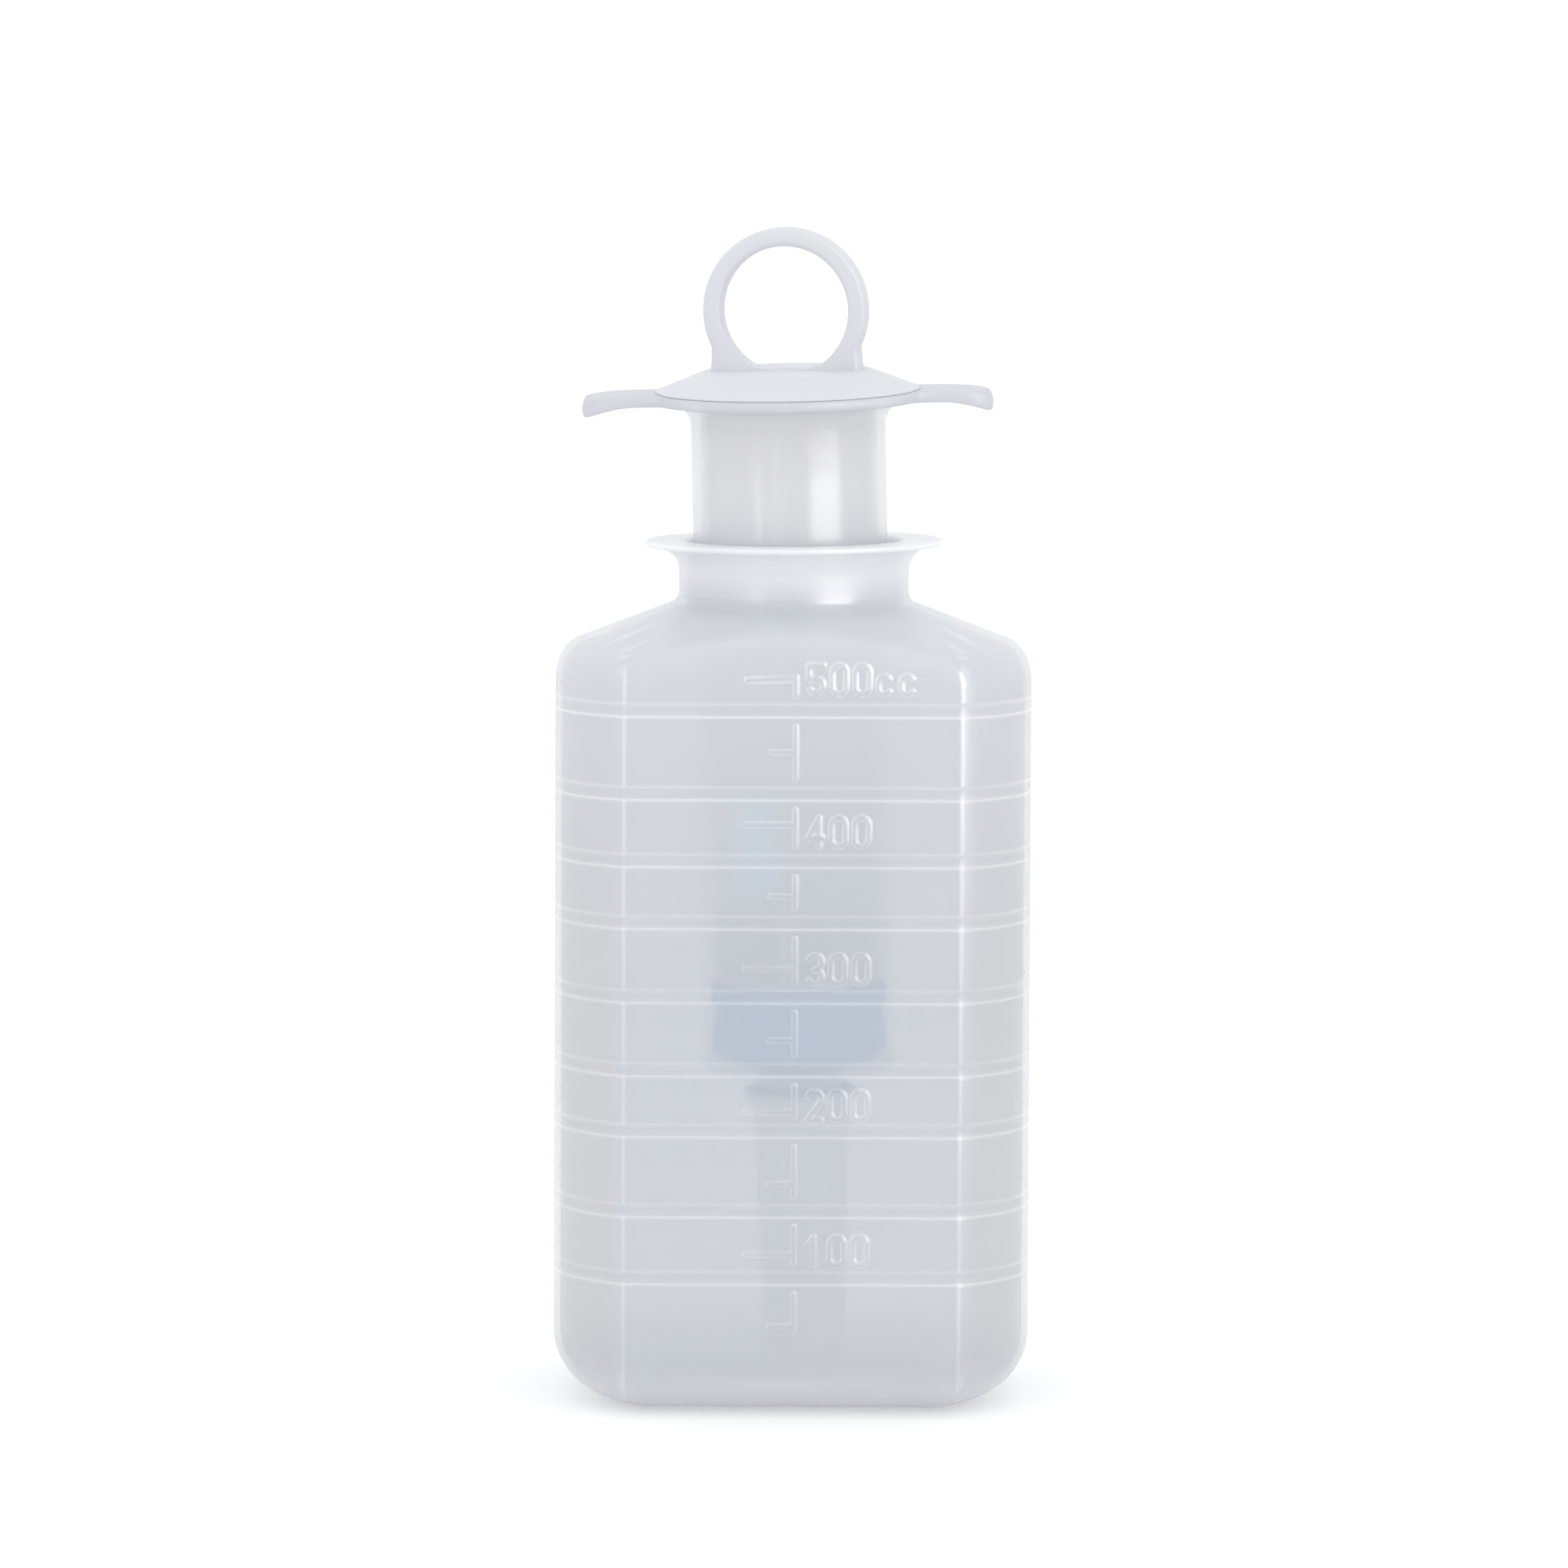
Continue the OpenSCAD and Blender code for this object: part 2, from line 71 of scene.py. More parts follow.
WALL = 1.1
CORNER_R = 22.6           # radius of the upright corners
CREASE_IN = 12            # from the side wall to the crease
CREASE_R = 2.3            # the crease's own soft rounding
BASE_REACH = 15.5         # how far in the base's rounding starts
BASE_RISE = 12.5          # and how high up the wall it ends
SHOULDER_R = 5.6
SHOULDER_SLOPE = 0.385
GROOVE_W = 2.1
GROOVE_DEPTH = 0.24
GROOVE_EDGE = 0.3
DRAFT = 0.22              # the walls lean in by this much up to the shoulder
NECK_R = 19.15
NECK_WALL = 1.3
NECK_H = 10.1
NECK_FOOT = 2.2           # hollow round where the neck meets the shoulder
LIP_OUT = 5.7
LIP_T = 1.1
LIP_FILLET = 4.3
LIP_TILT = 0.008          # the rolled lip isn't quite level

SCALE_ZERO = 4            # height of the scale's zero
SCALE_TOP_GAP = 3         # from its top mark to the shoulder's edge
MARK_STROKE = 0.85
DIGIT_H = 5.6
DIGIT_W = 3.2
DIGIT_PITCH = 3.75
DIGIT_DROP = 0.48         # the share of a numeral that hangs below its mark
LINE_X = 0.4              # the upright line, and how it stops short of a groove
LINE_GAP = 1.1
DIGIT_X = 1.7             # from the line to the numerals
LONG_TICK = 8.4
SHORT_TICK = 4.4
DIGIT_SHIFTS = [0.6, 1.0, -0.2, -1.3, 0]  # the numerals 100 to 500 stand a little off their marks
GROOVE_STEPS = [1.67, 2.61, 3.73, 4.58, 5.6, 6.63, 7.49, 8.42, 9.57]  # heights, in marks

# Painted highlight lines along the grooves' edges, the creases and the marks' strokes: each one's
# strength and half width
LOWER_LINE = (0.9, 0.24)
UPPER_LINE = (0.6, 0.26)
CREASE_LINE = (0.5, 0.36)
STROKE_LINE = (0.65, 0.15)

# Where the bottle's plastic is paler: toward the neck, and at the foot, where the paler colour is
# painted light that lifts the shade by the floor
PALE_START = 64           # how far below the neck's foot it begins, and the run to its full share
PALE_RUN = 68
FOOT_BAND = (2, 11)       # heights between which the foot's painted light fades out
FOOT_PAINTED_LIGHT = 0.8
SIDE_SHARES = (0.66, 0.8)  # shares of the half width, past which the side's colour sets in

# How much of the light that meets it each surface stops, from 0 to 1
BOTTLE_SOLID = 0.42
PALE_SOLID = 0.68         # toward the neck and at the foot, where the wall is thicker
LIT_SOLID = 0.2           # what the painted highlight lines add
BARREL_SOLID = 0.54
THIN_SOLID = 0.24         # in the lower half of the barrel
FLANGE_SOLID = 0.85
PRINT_SOLID = 0.5         # what the printed patch adds

# Levels along the syringe's axis, counted from the end of the tip cap
FLANGE_Z = 167.2
BARREL_L = 114
END_Z = FLANGE_Z - BARREL_L
END_WALL = 1.6
BORE_R = 14.6
BARREL_R = 16.2
STOP_Z = FLANGE_Z - 12
STOP_H = 0.6
FLANGE_R = 22.5
FLANGE_T = 1.9
FLANGE_FILLET = 4
WING_HALF = 34.1
WING_HALF_W = 6.5
WING_ROUND = 4
WING_DROP = 0.6
WING_CURL = 9
WING_TOE = 2.1
COLLAR_R = 7.1
COLLAR_L = 12
NOZZLE_L = 42
TIP_R = 3.3
TAPER_STEP = 1.5
CHANNEL_R = 1.5
CAP_H = 49.8
CAP_WALL = 1.3
CAP_BORE_R = 7.14
CAP_BEAD = 2
CAP_END_R = 6.6
PRINT_LOW = (84, 86)      # the bare print patch on the barrel, its soft lower edge
PRINT_HIGH = (100, 102)   # its soft upper edge
PRINT_LEFT = (-0.72, -0.62)  # and its side edges, in radians round from the front
PRINT_RIGHT = (-0.2, -0.1)
SEAL_Z = 55.2
SEAL_H = 12.5
SEAL_R = 14.55
SEAL_FOOT = 1.5
SEAL_GROOVE = 0.7
SEAL_LIP = 3
HEAD_R = 10
HEAD_T = 4.5
HEAD_FIT = 0.05
STEM_R = 5.5
STEM_PLAY = 0.5
DISC_T = 1.6
DISC_GAP = 0.3
VANE_R = 13.6
VANE_T = 1.8
PLATE_Z = FLANGE_Z + 0.2
PLATE_R = 22
PLATE_T = 1.3
PLATE_RISE = 1.3
PLATE_GAP = 0.03          # the plate stands this far over the flange
PLATE_RIM = 0.25          # and its rim ends this far over it
HUB_R = 13.8              # the flat top under the ring
FOOT_RISE = 1.1
FOOT_HALF = 11.4          # the bar under the ring's hole
FOOT_HALF_W = 1.9
RING_R = 13.75
RING_RIM = 3.1
RING_T = 4.8
RING_RISE = 9.4
LEG_HALF = 12.4
PLUNGER_TURN = math.radians(-10)

SHOULDER_Z = BOTTLE_H - NECK_H
LIP_R = NECK_R + LIP_OUT
CORNER_X = HALF_W - CORNER_R
CORNER_Y = HALF_D - math.sqrt(CORNER_R ** 2 - (CORNER_R - CREASE_IN) ** 2)
SEAL_TOP = SEAL_Z + SEAL_H
HEAD_Z = SEAL_TOP - SEAL_LIP - HEAD_T
HUB_Z = PLATE_Z + PLATE_T + PLATE_RISE
RING_Z = HUB_Z + FOOT_RISE + RING_RISE

upright = Matrix.Scale(MM, 4)
syringe = (
    Matrix.Translation(FLANGE_POINT)
    @ Matrix.Rotation(-lean_left, 4, "Y")
    @ Matrix.Rotation(lean_front, 4, "X")
    @ Matrix.Scale(MM, 4)
    @ Matrix.Translation((0, 0, -FLANGE_Z))
)
plunger_place = syringe @ Matrix.Rotation(PLUNGER_TURN, 4, "Z")


def roof_z(r, inset=0):
    """Height of the shoulder's cone at a distance from the axis."""
    slope_len = math.hypot(1, SHOULDER_SLOPE)
    return SHOULDER_Z - inset * slope_len - SHOULDER_SLOPE * (r - NECK_R)


SCALE_TOP = roof_z(HALF_W) - SCALE_TOP_GAP
SCALE_STEP = (SCALE_TOP - SCALE_ZERO) / 10
GROOVES = [SCALE_ZERO + step * SCALE_STEP for step in GROOVE_STEPS]


# ---- mesh helpers ----

def smooth_step(low, high, value):
    """0 below low, 1 above high, and a soft S between them."""
    t = np.clip((np.asarray(value, float) - low) / (high - low), 0, 1)
    return t * t * (3 - 2 * t)


def arc(centre, radius, start, end, steps):
    """Points of an arc, its angles in degrees."""
    turns = np.radians(np.linspace(start, end, steps + 1))
    return [(centre[0] + radius * math.cos(t), centre[1] + radius * math.sin(t)) for t in turns]


def rounded(corners, closed=False, steps=5):
    """A path through corners (a, b, radius), each corner eased by an arc of its radius."""
    path = []
    last = len(corners) - 1
    for i, (a, b, radius) in enumerate(corners):
        here = Vector((a, b))
        if radius == 0 or (not closed and i in (0, last)):
            path.append(tuple(here))
            continue
        before = Vector(corners[i - 1][:2]) - here
        after = Vector(corners[(i + 1) % len(corners)][:2]) - here
        before.normalize()
        after.normalize()
        turn = math.pi - before.angle(after)
        middle = (before + after).normalized()
        centre = here + middle * (radius / math.cos(turn / 2))
        first = here + before * (radius * math.tan(turn / 2)) - centre
        second = here + after * (radius * math.tan(turn / 2)) - centre
        swing = first.angle_signed(second)
        for k in range(steps + 1):
            angle = -swing * k / steps
            path.append(tuple(centre + Matrix.Rotation(angle, 2) @ first))
    return path


def finish_mesh(name, points, faces, place, crease=None):
    """A smooth-shaded mesh object from points in mm; edges bent past crease degrees stay sharp."""
    mesh = bpy.data.meshes.new(name)
    mesh.from_pydata([tuple(p) for p in points], [], faces)
    mesh.transform(place)
    bm = bmesh.new()
    bm.from_mesh(mesh)
    bmesh.ops.recalc_face_normals(bm, faces=bm.faces)
    bm.to_mesh(mesh)
    bm.free()
    mesh.shade_smooth()
    if crease is not None:
        mesh.set_sharp_from_angle(angle=math.radians(crease))
    obj = bpy.data.objects.new(name, mesh)
    bpy.context.scene.collection.objects.link(obj)
    return obj


def loft(name, rings, place, poles=(None, None), loop=False, crease=None):
    """Skins rings of equal length in order. A pole closes an end, or loop joins the two ends."""
    rings = np.asarray(rings, float)
    rows, count = rings.shape[:2]
    points = [tuple(p) for p in rings.reshape(-1, 3)]
    faces = []
    for i in range(rows if loop else rows - 1):
        here = i * count
        above = (i + 1) % rows * count
        for j in range(count):
            k = (j + 1) % count
            faces.append((here + j, here + k, above + k, above + j))
    for pole, row in zip(poles, (0, rows - 1)):
        if pole is None:
            continue
        points.append(tuple(pole))
        tip = len(points) - 1
        for j in range(count):
            faces.append((row * count + j, row * count + (j + 1) % count, tip))
    return finish_mesh(name, points, faces, place, crease)


def mark(obj, name, values):
    """Stores a value for each point of a mesh, for its material to read."""
    layer = obj.data.attributes.new(name, "FLOAT", "POINT")
    whole = np.zeros(len(obj.data.vertices))
    whole[:len(values)] = values
    layer.data.foreach_set("value", whole)


def circle_ring(r, z, turns):
    """A level circle through the given angles."""
    return np.stack([r * np.cos(turns), r * np.sin(turns), np.full(len(turns), z)], axis=1)


def lathe(name, path, place, segments=96, crease=None, loop=False):
    """Turns a path of (r, z) about the axis. A path that ends on the axis is closed there."""
    turns = np.linspace(0, 2 * math.pi, segments, endpoint=False)
    poles = [None, None]
    if path[0][0] == 0:
        poles[0] = (0, 0, path[0][1])
        path = path[1:]
    if path[-1][0] == 0:
        poles[1] = (0, 0, path[-1][1])
        path = path[:-1]
    rings = [circle_ring(r, z, turns) for r, z in path]
    return loft(name, rings, place, tuple(poles), loop, crease)


def prism(name, outline, low, high, place, crease=35):
    """A solid between two levels over a closed outline in plan."""
    count = len(outline)
    points = [(x, y, low) for x, y in outline] + [(x, y, high) for x, y in outline]
    faces = [tuple(range(count))[::-1], tuple(range(count, 2 * count))]
    for j in range(count):
        k = (j + 1) % count
        faces.append((j, k, count + k, count + j))
    return finish_mesh(name, points, faces, place, crease)


def joined(name, pieces):
    """One object made of several closed solids that run into each other."""
    bm = bmesh.new()
    for piece in pieces:
        bm.from_mesh(piece.data)
        bpy.data.objects.remove(piece)
    mesh = bpy.data.meshes.new(name)
    bm.to_mesh(mesh)
    bm.free()
    obj = bpy.data.objects.new(name, mesh)
    bpy.context.scene.collection.objects.link(obj)
    return obj


# ---- the scale moulded on the bottle ----

def bow(centre, r, start, end):
    """A numeral's curved stroke."""
    return arc(centre, r, start, end, 10)


def numeral(n):
    """The strokes of a numeral, each a list of points in a box DIGIT_W by DIGIT_H."""
    m = MARK_STROKE / 2
    r = DIGIT_W / 2 - m
    low = m + r
    high = DIGIT_H - m - r
    mid = DIGIT_H / 2
    right = DIGIT_W - m
    top = DIGIT_H - m
    if n == 0:
        return [bow((low, high), r, 0, 180) + bow((low, low), r, 180, 360) + [(right, high)]]
    if n == 1:
        return [[(m + 0.3, high), (DIGIT_W / 2, top), (DIGIT_W / 2, m)]]
    if n == 2:
        return [bow((low, high), r, 165, -30) + [(m, m), (right, m)]]
    if n == 3:
        return [bow((low, high), r, 150, -90) + bow((low, low), r, 90, -150)]
    if n == 4:
        return [
            [(right - 0.6, m), (right - 0.6, top), (m, mid - 0.9), (right, mid - 0.9)],
        ]
    return [[(right, top), (m, top), (m, mid + 0.2)] + bow((low, low + 0.2), r, 135, -150)]


def small_c():
    """The letter c, lower than a numeral."""
    m = MARK_STROKE / 2
    r = DIGIT_W / 2 - m - 0.2
    top = DIGIT_H * 0.68 - m - r
    return [bow((m + r, top), r, 30, 180) + bow((m + r, m + r), r, 180, 330)]


def scale_strokes():
    """Marks each 50, numerals each 100, and an upright line that the grooves break."""
    strokes = []
    edge = MARK_STROKE / 2
    for k in range(1, 11):
        z = SCALE_ZERO + k * SCALE_STEP
        length = SHORT_TICK if k % 2 else LONG_TICK
        strokes.append([(LINE_X - length + edge, z), (LINE_X - edge, z)])
    for k in range(1, 6):
        x = LINE_X + DIGIT_X
        z = SCALE_ZERO + 2 * k * SCALE_STEP - DIGIT_H * DIGIT_DROP + DIGIT_SHIFTS[k - 1]
        glyphs = [numeral(k), numeral(0), numeral(0)]
        if k == 5:
            glyphs += [small_c(), small_c()]
        for place, glyph in enumerate(glyphs):
            for stroke in glyph:
                strokes.append([(x + place * DIGIT_PITCH + a, z + b) for a, b in stroke])
    clear = GROOVE_W / 2 + LINE_GAP + edge
    ends = [SCALE_ZERO + SCALE_STEP - edge] + GROOVES + [SCALE_TOP + edge]
    for i in range(len(ends) - 1):
        low = ends[i] + (clear if i else 0)
        high = ends[i + 1] - (clear if i < len(GROOVES) else 0)
        strokes.append([(LINE_X, low), (LINE_X, high)])
    return strokes


def stroke_gap(x, z):
    """Distance from each point of the front panel to the middle of the nearest stroke."""
    nearest = np.full(x.shape, 1e9)
    for stroke in scale_strokes():
        for (ax, az), (bx, bz) in zip(stroke, stroke[1:]):
            dx = bx - ax
            dz = bz - az
            run = max(dx * dx + dz * dz, 1e-9)
            t = np.clip(((x - ax) * dx + (z - az) * dz) / run, 0, 1)
            gap = np.hypot(x - ax - t * dx, z - az - t * dz)
            nearest = np.minimum(nearest, gap)
    return nearest


# ---- bottle ----

def front_columns():
    """Places across the front panel, close together where the marks and numerals are."""
    edge = MARK_STROKE
    places = list(np.arange(LINE_X - edge, LINE_X + edge, 0.21))
    for length in (LONG_TICK, SHORT_TICK):
        places += list(np.arange(LINE_X - length - 0.4, LINE_X - length + 1.1, 0.25))
    first = LINE_X + DIGIT_X - 0.35
    last = LINE_X + DIGIT_X + 5 * DIGIT_PITCH
    places += list(np.arange(first, last, 0.3))
    places += [-22, -18, -14, -11, -6.5, -2.4, -1.4, 22.5, 24.5]
    return sorted(places)


def plan(inset, columns):
    """The body's outline, drawn in from the wall by inset: x and y of each upright column."""
    depth = HALF_D - inset
    big = CORNER_R - inset
    small = min(CREASE_R, big / 2)
    rise = depth - small - CORNER_Y
    fold_x = CORNER_X + math.sqrt(max((big - small) ** 2 - rise ** 2, 0))
    fold = math.atan2(fold_x - CORNER_X, rise)
    quarter = [(fold_x + small * math.sin(t), -depth + small - small * math.cos(t))
               for t in np.linspace(0, fold, 6)]
    quarter += [(CORNER_X + big * math.sin(t), -CORNER_Y - big * math.cos(t))
                for t in np.linspace(fold, math.pi / 2, 13)[1:]]
    shrink = fold_x / (HALF_W - CREASE_IN)
    front = [(x * shrink, -depth) for x in columns]
    back = [(x * fold_x, depth) for x in (0.96, 0.6, 0.2, -0.2, -0.6, -0.96)]
    side = [(HALF_W - inset, y * CORNER_Y) for y in (-0.7, 0, 0.7)]
    right = quarter + side + [(x, -y) for x, y in quarter[::-1]]
    left = [(-x, -y) for x, y in right]
    near = [(0.975 * fold_x, -depth)]
    far = [(-0.975 * fold_x, -depth)]
    return np.array(front + near + right + back + left + far)


def wall_inset(z, inner):
    """How far the wall stands in at a height: its draft, and the base's rounding."""
    up = min(max((z - inner) / (BASE_RISE - inner), 0), 1)
    rim = (BASE_REACH - inner) * (1 - (1 - (1 - up) ** 2.15) ** (1 / 2.15))
    return inner + rim + DRAFT * z / SHOULDER_Z


def groove_inset(z):
    """Depth of the grooves at a height."""
    reach = GROOVE_W / 2
    depth = 0
    for middle in GROOVES:
        depth += 1 - float(smooth_step(reach - GROOVE_EDGE, reach + GROOVE_EDGE, abs(z - middle)))
    return GROOVE_DEPTH * depth


def wall_levels(inner):
    """Heights of the wall's rows, from the base's rounding to below the shoulder."""
    reach = GROOVE_W / 2
    steps = (-0.3, 0, 0.3) if inner else (-0.36, -0.24, -0.12, 0, 0.12, 0.24, 0.36)
    offsets = [0] + [reach + step for step in steps]
    levels = set()
    base = BASE_RISE - inner
    for t in np.linspace(0, 1, 17 if not inner else 11):
        levels.add(inner + base * (1 - math.cos(t * math.pi / 2)))
    for middle in GROOVES:
        for offset in offsets:
            levels.add(middle + offset)
            levels.add(middle - offset)
    if not inner:
        for k in range(1, 11):
            z = SCALE_ZERO + k * SCALE_STEP
            step = 0.25 if k % 2 else 0.3
            shift = 0 if k % 2 else DIGIT_SHIFTS[k // 2 - 1]
            below = 1.1 if k % 2 else DIGIT_H * DIGIT_DROP + 0.7 + max(-shift, 0)
            above = 1.1 if k % 2 else DIGIT_H * (1 - DIGIT_DROP) + 0.7 + max(shift, 0)
            for level in np.arange(z - below, z + above, step):
                levels.add(level)
        for low, high in zip([SCALE_ZERO + SCALE_STEP] + GROOVES, GROOVES + [SCALE_TOP + 0.4]):
            for level in (low + reach + LINE_GAP, high - reach - LINE_GAP):
                for shift in (-0.5, -0.25, 0, 0.25, 0.5):
                    levels.add(level + shift)
    ordered = []
    for level in sorted(levels):
        if not ordered or level - ordered[-1] > 0.11:
            ordered.append(level)
    return ordered


def shoulder_rows(columns, inner, top_r):
    """Rows over the shoulder: a rounded edge, then the cone in to the neck."""
    outline = plan(inner + DRAFT, columns)
    radius = np.hypot(outline[:, 0], outline[:, 1])
    slope = math.atan(SHOULDER_SLOPE)
    turn = math.pi / 2 - slope
    ease = SHOULDER_R - inner
    cut = ease * math.tan(turn / 2)
    edge = np.array([roof_z(r, inner) for r in radius])
    rows = []
    for t in np.linspace(0, turn, 9 if inner else 25):
        r = radius - ease + ease * math.cos(t)
        z = edge - cut + ease * math.sin(t)
        rows.append((r, z))
    start_r, start_z = rows[-1]
    for share in (0.1, 0.4, 0.7, 1):
        r = start_r + (top_r - start_r) * share
        z = start_z + SHOULDER_SLOPE * (start_r - r)
        rows.append((r, z))
    rings = []
    for r, z in rows:
        rings.append(np.stack([outline[:, 0] * r / radius, outline[:, 1] * r / radius, z], axis=1))
    return rings


def wall_rows(columns, inner):
    """Rows up the wall, following the grooves and the base, and spread up to the curved shoulder."""
    outline = plan(inner + DRAFT, columns)
    top = np.array([roof_z(r, inner) for r in np.hypot(outline[:, 0], outline[:, 1])])
    turn = math.pi / 2 - math.atan(SHOULDER_SLOPE)
    top -= (SHOULDER_R - inner) * math.tan(turn / 2) + 0.05
    start = GROOVES[-1] + GROOVE_W
    levels = [z for z in wall_levels(inner) if z < SCALE_TOP + 1]
    rings = []
    for z in levels:
        inset = wall_inset(z, inner)
        plain = plan(inset, columns)
        grooved = plan(inset + groove_inset(z), columns)
        side = smooth_step(0.86, 0.99, np.abs(plain[:, 0]) / HALF_W)[:, None]
        outline = grooved + (plain - grooved) * side
        height = np.full(len(outline), z)
        if z > start:
            height = start + (top - start) * (z - start) / (levels[-1] - start)
        rings.append(np.stack([outline[:, 0], outline[:, 1], height], axis=1))
    return rings


def bright_line(gap, strength, half_width):
    """A soft line, at its full strength where the gap from its middle is 0."""
    return strength * np.exp(-(gap / half_width) ** 2)


def painted_edge_highlights(ring, gap):
    """Up to 1 along the moulded edges and the creases: painted highlights where these would catch the
    light.
    """
    z = ring[:, 2]
    painted_highlight = np.zeros(len(ring))
    for middle in GROOVES:
        painted_highlight += bright_line(z - middle + GROOVE_W / 2, *LOWER_LINE)
        painted_highlight += bright_line(z - middle - GROOVE_W / 2, *UPPER_LINE)
    crease = bright_line(np.abs(ring[:, 0]) - HALF_W + CREASE_IN, *CREASE_LINE)
    painted_highlight += crease * (1 - groove_inset(float(z[0])) / GROOVE_DEPTH)
    strokes = np.zeros(len(ring))
    strokes[:len(gap)] = bright_line(gap - MARK_STROKE / 2, *STROKE_LINE)
    return np.clip(painted_highlight + strokes, 0, 1)


def bottle():
    """Outer wall, shoulder, neck and lip, then the inside down again, skinned in one go."""
    columns = front_columns()
    count = len(columns)
    outside = wall_rows(columns, 0) + shoulder_rows(columns, 0, NECK_R + NECK_FOOT + 0.6)
    grid = np.array([ring[:count] for ring in outside])
    gaps = stroke_gap(grid[:, :, 0], grid[:, :, 2])
    half = MARK_STROKE / 2
    lift = MARK_RELIEF * (1 - smooth_step(0.45 * half, 1.3 * half, gaps))
    painted_highlight = []
    for ring, gap, row in zip(outside, gaps, lift):
        painted_highlight.append(painted_edge_highlights(ring, gap))
        ring[:count, 1] -= row
    turns = np.arctan2(outside[-1][:, 1], outside[-1][:, 0])
    bore = NECK_R - NECK_WALL
    neck = rounded([
        (NECK_R + NECK_FOOT + 0.5, roof_z(NECK_R + NECK_FOOT + 0.5), 0),
        (NECK_R, roof_z(NECK_R), NECK_FOOT),
        (NECK_R, BOTTLE_H - LIP_T, LIP_FILLET),
        (LIP_R, BOTTLE_H - LIP_T + 0.12, LIP_T * 0.44),
        (LIP_R, BOTTLE_H, LIP_T * 0.46),
        (bore, BOTTLE_H, 0.7),
        (bore, roof_z(NECK_R, WALL) - 0.6, 0.5),
        (bore + 2, roof_z(NECK_R + 1.2, WALL), 0),
    ], steps=6)
    middle = [circle_ring(r, z, turns) for r, z in neck]
    for ring in middle:
        share = smooth_step(BOTTLE_H - 5, BOTTLE_H - LIP_T, ring[:, 2])
        ring[:, 2] += LIP_TILT * ring[:, 0] * share
    inside = shoulder_rows(columns, WALL, bore + 2.6)[::-1]
    inside += wall_rows(columns, WALL)[::-1]
    rings = outside + middle + inside
    poles = ((0, 0, 0.6), (0, 0, WALL + 0.6))
    obj = loft("bottle_shell", rings, upright, poles)
    # for the material: the painted highlight lines, the paler plastic with painted light at the foot,
    # the neck's painted light, the sides, and how solid the plastic is at each point
    spots = np.array(rings).reshape(-1, 3)
    lit = np.zeros(len(spots))
    lit[:len(painted_highlight) * len(painted_highlight[0])] = np.concatenate(painted_highlight)
    upper = np.clip((spots[:, 2] - SHOULDER_Z + PALE_START) / PALE_RUN, 0, 1)
    # at the foot the paler colour is painted light, lifting the shade by the floor
    foot = 1 - smooth_step(*FOOT_BAND, spots[:, 2])
    pale = np.maximum(upper, FOOT_PAINTED_LIGHT * foot)
    mark(obj, "painted_highlight", lit)
    mark(obj, "pale", pale)
    # the neck and lip get a much paler colour, painted light that lifts the shade under the lip and
    # behind the neck's wall; the same mask makes them rougher
    mark(obj, "neck", smooth_step(SHOULDER_Z + 0.5, SHOULDER_Z + 3, spots[:, 2]))
    mark(obj, "side", smooth_step(*SIDE_SHARES, np.abs(spots[:, 0]) / HALF_W))
    mark(obj, "solid", BOTTLE_SOLID + (PALE_SOLID - BOTTLE_SOLID) * pale + LIT_SOLID * lit)
    return obj


# ---- syringe barrel ----

def wing_turns():
    """Angles round the flange, close together over the wings."""
    steps = [0, 1.2, 2.4, 3.6, 4.4]
    steps += list(np.arange(5.2, 12.8, 0.75))
    steps += list(np.arange(13.2, 19, 0.6))
    steps += [20, 22, 24.5, 27.5, 31, 35, 39, 43, 48, 53, 58, 64, 70, 76, 83]
    quarter = np.radians(steps)
    half = list(quarter) + [math.pi / 2] + [math.pi - t for t in quarter[::-1]]
    return np.array(half + [t + math.pi for t in half[1:-1]])


def wing_reach(turn):
    """Distance to the edge of the flange and its wings in one direction."""
    c = abs(math.cos(turn))
    s = abs(math.sin(turn))
    end = WING_HALF / max(c, 1e-6)
    side = WING_HALF_W / max(s, 1e-6)
    corner = Vector((WING_HALF - WING_ROUND, WING_HALF_W - WING_ROUND))
    if end * s <= corner.y:
        reach = end
    elif side * c <= corner.x:
        reach = side
    else:
        along = corner.dot((c, s))
        reach = along + math.sqrt(max(along ** 2 - corner.length_squared + WING_ROUND ** 2, 0))
    blend = 14
    return (reach ** blend + FLANGE_R ** blend) ** (1 / blend) if reach > 12 else FLANGE_R


def curl(x):
    """Share of the wing tips' fall at a distance from the axis."""
    return np.maximum(0, 1 - (WING_HALF - np.abs(x)) / WING_CURL) ** 2


def flange_ring(turns, reach, share, inset, drop):
    """A ring on the flange: share of the way out to the rim, and drop below its top."""
    start = BARREL_R + FLANGE_FILLET
    r = start + (reach - inset - start) * share
    x = r * np.cos(turns)
    y = r * np.sin(turns)
    z = FLANGE_Z - drop - curl(x) * (WING_DROP + (WING_TOE - WING_DROP) * drop / FLANGE_T)
    return np.stack([x, y, z], axis=1)


